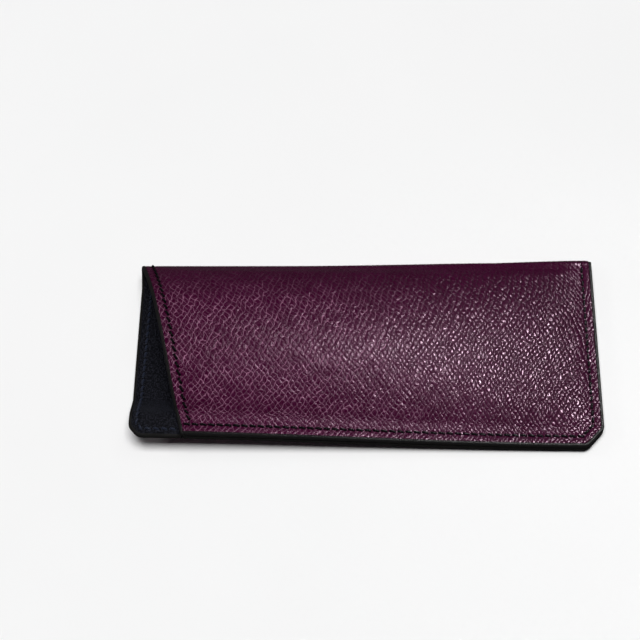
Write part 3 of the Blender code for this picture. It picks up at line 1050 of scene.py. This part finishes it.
def make_threads(black, navy):
    def leather_face(along, across):
        return leather_depth(along, across) + LEATHER - GROOVE_DEPTH

    def lining_face(along, across):
        return np.zeros_like(along)

    for name, line, lean, face, outwards, thread in (
        ("mouth_needle", mouth_row(NEEDLE_START), MOUTH_LEAN, leather_face, 1, black),
        ("mouth_bobbin", mouth_row(BOBBIN_START), MOUTH_LEAN, lining_face, -1, navy),
        ("seam_needle", seam_row(1), SEAM_LEAN, leather_face, 1, black),
        ("seam_bobbin", seam_row(-1), -SEAM_LEAN, leather_face, 1, black),
    ):
        make_stitches(name + "_stitches", name + "_thread", line, lean, face, outwards, thread)


def make_bead(name, node, corners, low, high, paint):
    """A rounded bead of paint on the cut edge that runs through the corners, between two depths."""
    line = rounded(corners, CORNER_RADIUS, PAINT_STEP)
    angles = np.linspace(-math.pi / 2, math.pi / 2, BEAD_SIDES)
    outline = PAINT_REACH * np.cos(angles) ** BEAD_FULLNESS
    reaches = np.concatenate([[-BEAD_ROOT], outline, [-BEAD_ROOT]])
    middle = (low + high) / 2
    depths = middle + (high - low) / 2 * np.concatenate([[-BEAD_HEEL], np.sin(angles), [BEAD_HEEL]])
    distance = np.linspace(0.0, line.length, math.ceil(line.length / PAINT_STEP) + 1)
    from_end = np.minimum(distance, line.length - distance)
    swelling = np.sqrt(np.clip(BEAD_START + from_end / PAINT_REACH, 0.0, 1.0))
    outwards = np.where(reaches > 0, reaches * swelling[:, None], reaches)
    places = line.at(distance)[:, None] - line.left(distance)[:, None] * outwards[..., None]
    points = bent(places, depths)
    faces = tube_faces(0, len(distance), len(reaches))
    add_piece(name, points.reshape(-1, 3), faces, paint, node)


def make_edge_paint(paint):
    corners = mouth_corners(LIP_SLANT - GAP)
    # Up to the outer side of the closing seam's bead
    corners[0] = (LIP_SLANT + LIP_SLANT / WIDTH * PAINT_REACH, WIDTH + PAINT_REACH)
    high = THIN_STACK + PAINT_OVER
    make_bead("mouth_edge_bead", "mouth_edge_paint", corners, -PAINT_OVER, high, paint)
    corners = seam_corners(-1)[:0:-1] + seam_corners(1)[1:]
    low = PANEL_GROOVE - HALF_SLIT
    make_bead("seam_edge_bead", "seam_edge_paint", corners, low, high, paint)


# -------- floor, lights and camera

FLOOR_SIDE = 12.0
FLOOR_DROP = 0.05 * MM
EYE = (-0.0051, -0.3460, 0.5823)
EYE_AZIMUTH = math.radians(-2.07)
EYE_ELEVATION = math.radians(58.15)
EYE_ROLL = math.radians(-1.46)
LENS_MM = 98.9
NEAREST_SEEN = 0.01
WORLD_LIGHT = (0.02, 0.02, 0.021, 1.0)
WORLD_SEEN = (0.85, 0.85, 0.85, 1.0)  # by the camera, past the floor's edge

# The lamps' angles are in degrees. Azimuth 0 is behind the case, and 90 on its right.
SOFTBOX = {"azimuth": 50.0, "elevation": 60.0, "distance": 2.0, "size": (0.6, 0.45)}
LAMPS = {
    "key_softbox": {**SOFTBOX, "power": 4.2, "rays": ("glossy",)},
    "shine_panel": {
        "azimuth": 50.0,
        "elevation": 63.0,
        "distance": 0.36,
        "size": (0.1, 0.08),
        "power": 0.13,
        "rays": ("glossy",),
        "aim": (0.07, -0.012, 0.01),
        "spread": 42.0,
    },
    "left_strip": {
        "azimuth": -80.0,
        "elevation": 35.0,
        "distance": 2.2,
        "size": (0.4, 0.4),
        "power": 2.6,
        "rays": ("diffuse", "glossy"),
    },
    "right_fill": {**SOFTBOX, "power": 1.5, "rays": ("diffuse",)},
    "overhead_fill": {
        "azimuth": 180.0,
        "elevation": 84.0,
        "distance": 6.0,
        "size": (3.8, 2.7),
        "power": 387.0,
        "rays": ("diffuse",),
    },
}


def make_floor():
    half = FLOOR_SIDE / 2
    mesh = bpy.data.meshes.new("floor")
    corners = [(-half, -half), (half, -half), (half, half), (-half, half)]
    mesh.from_pydata([(x, y, -FLOOR_DROP) for x, y in corners], [], [(0, 1, 2, 3)])
    mesh.materials.append(floor_material())
    floor = add_object("floor", mesh)


def make_light(name, azimuth, elevation, distance, size, power, rays, aim=(0.0, 0.0, 0.0), spread=180.0):
    """A soft panel that faces the point that it is aimed at, and lights only those kinds of rays."""
    light = bpy.data.lights.new(name, "AREA")
    light.shape = "RECTANGLE"
    light.size, light.size_y = size
    light.energy = power
    light.spread = math.radians(spread)
    lamp = add_object(name, light)
    lamp.visible_glossy = "glossy" in rays
    lamp.visible_diffuse = "diffuse" in rays
    turn = Matrix.Rotation(-math.radians(azimuth), 4, "Z")
    tilt = Matrix.Rotation(math.radians(elevation) - math.pi / 2, 4, "X")
    lamp.matrix_world = Matrix.Translation(aim) @ turn @ tilt @ Matrix.Translation((0.0, 0.0, distance))


def make_lights():
    for name, settings in LAMPS.items():
        make_light(name, **settings)


def make_world():
    world = bpy.data.worlds.new("studio")
    bpy.context.scene.world = world
    world.use_nodes = True
    graph = Graph(world.node_tree)
    seen = graph.add("ShaderNodeLightPath", output="Is Camera Ray")
    background = world.node_tree.nodes["Background"]
    graph.put(background.inputs["Color"], graph.mix(seen, WORLD_LIGHT, WORLD_SEEN))


def make_camera():
    camera = bpy.data.cameras.new("camera")
    camera.lens = LENS_MM
    camera.clip_start = NEAREST_SEEN
    eye = add_object("camera", camera)
    turn = Matrix.Rotation(-EYE_AZIMUTH, 4, "Z")
    tilt = Matrix.Rotation(math.pi / 2 - EYE_ELEVATION, 4, "X")
    roll = Matrix.Rotation(EYE_ROLL, 4, "Z")
    eye.matrix_world = Matrix.Translation(EYE) @ turn @ tilt @ roll
    bpy.context.scene.camera = eye


make_camera()
make_leather()
make_lining(suede_material())
make_interlinings(felt_material())
black = thread_material("black_thread", *BLACK_THREAD)
make_threads(black, thread_material("navy_thread", *NAVY_THREAD))
make_edge_paint(paint_material())
make_floor()
make_lights()
make_world()
bpy.context.scene.view_settings.view_transform = "Standard"
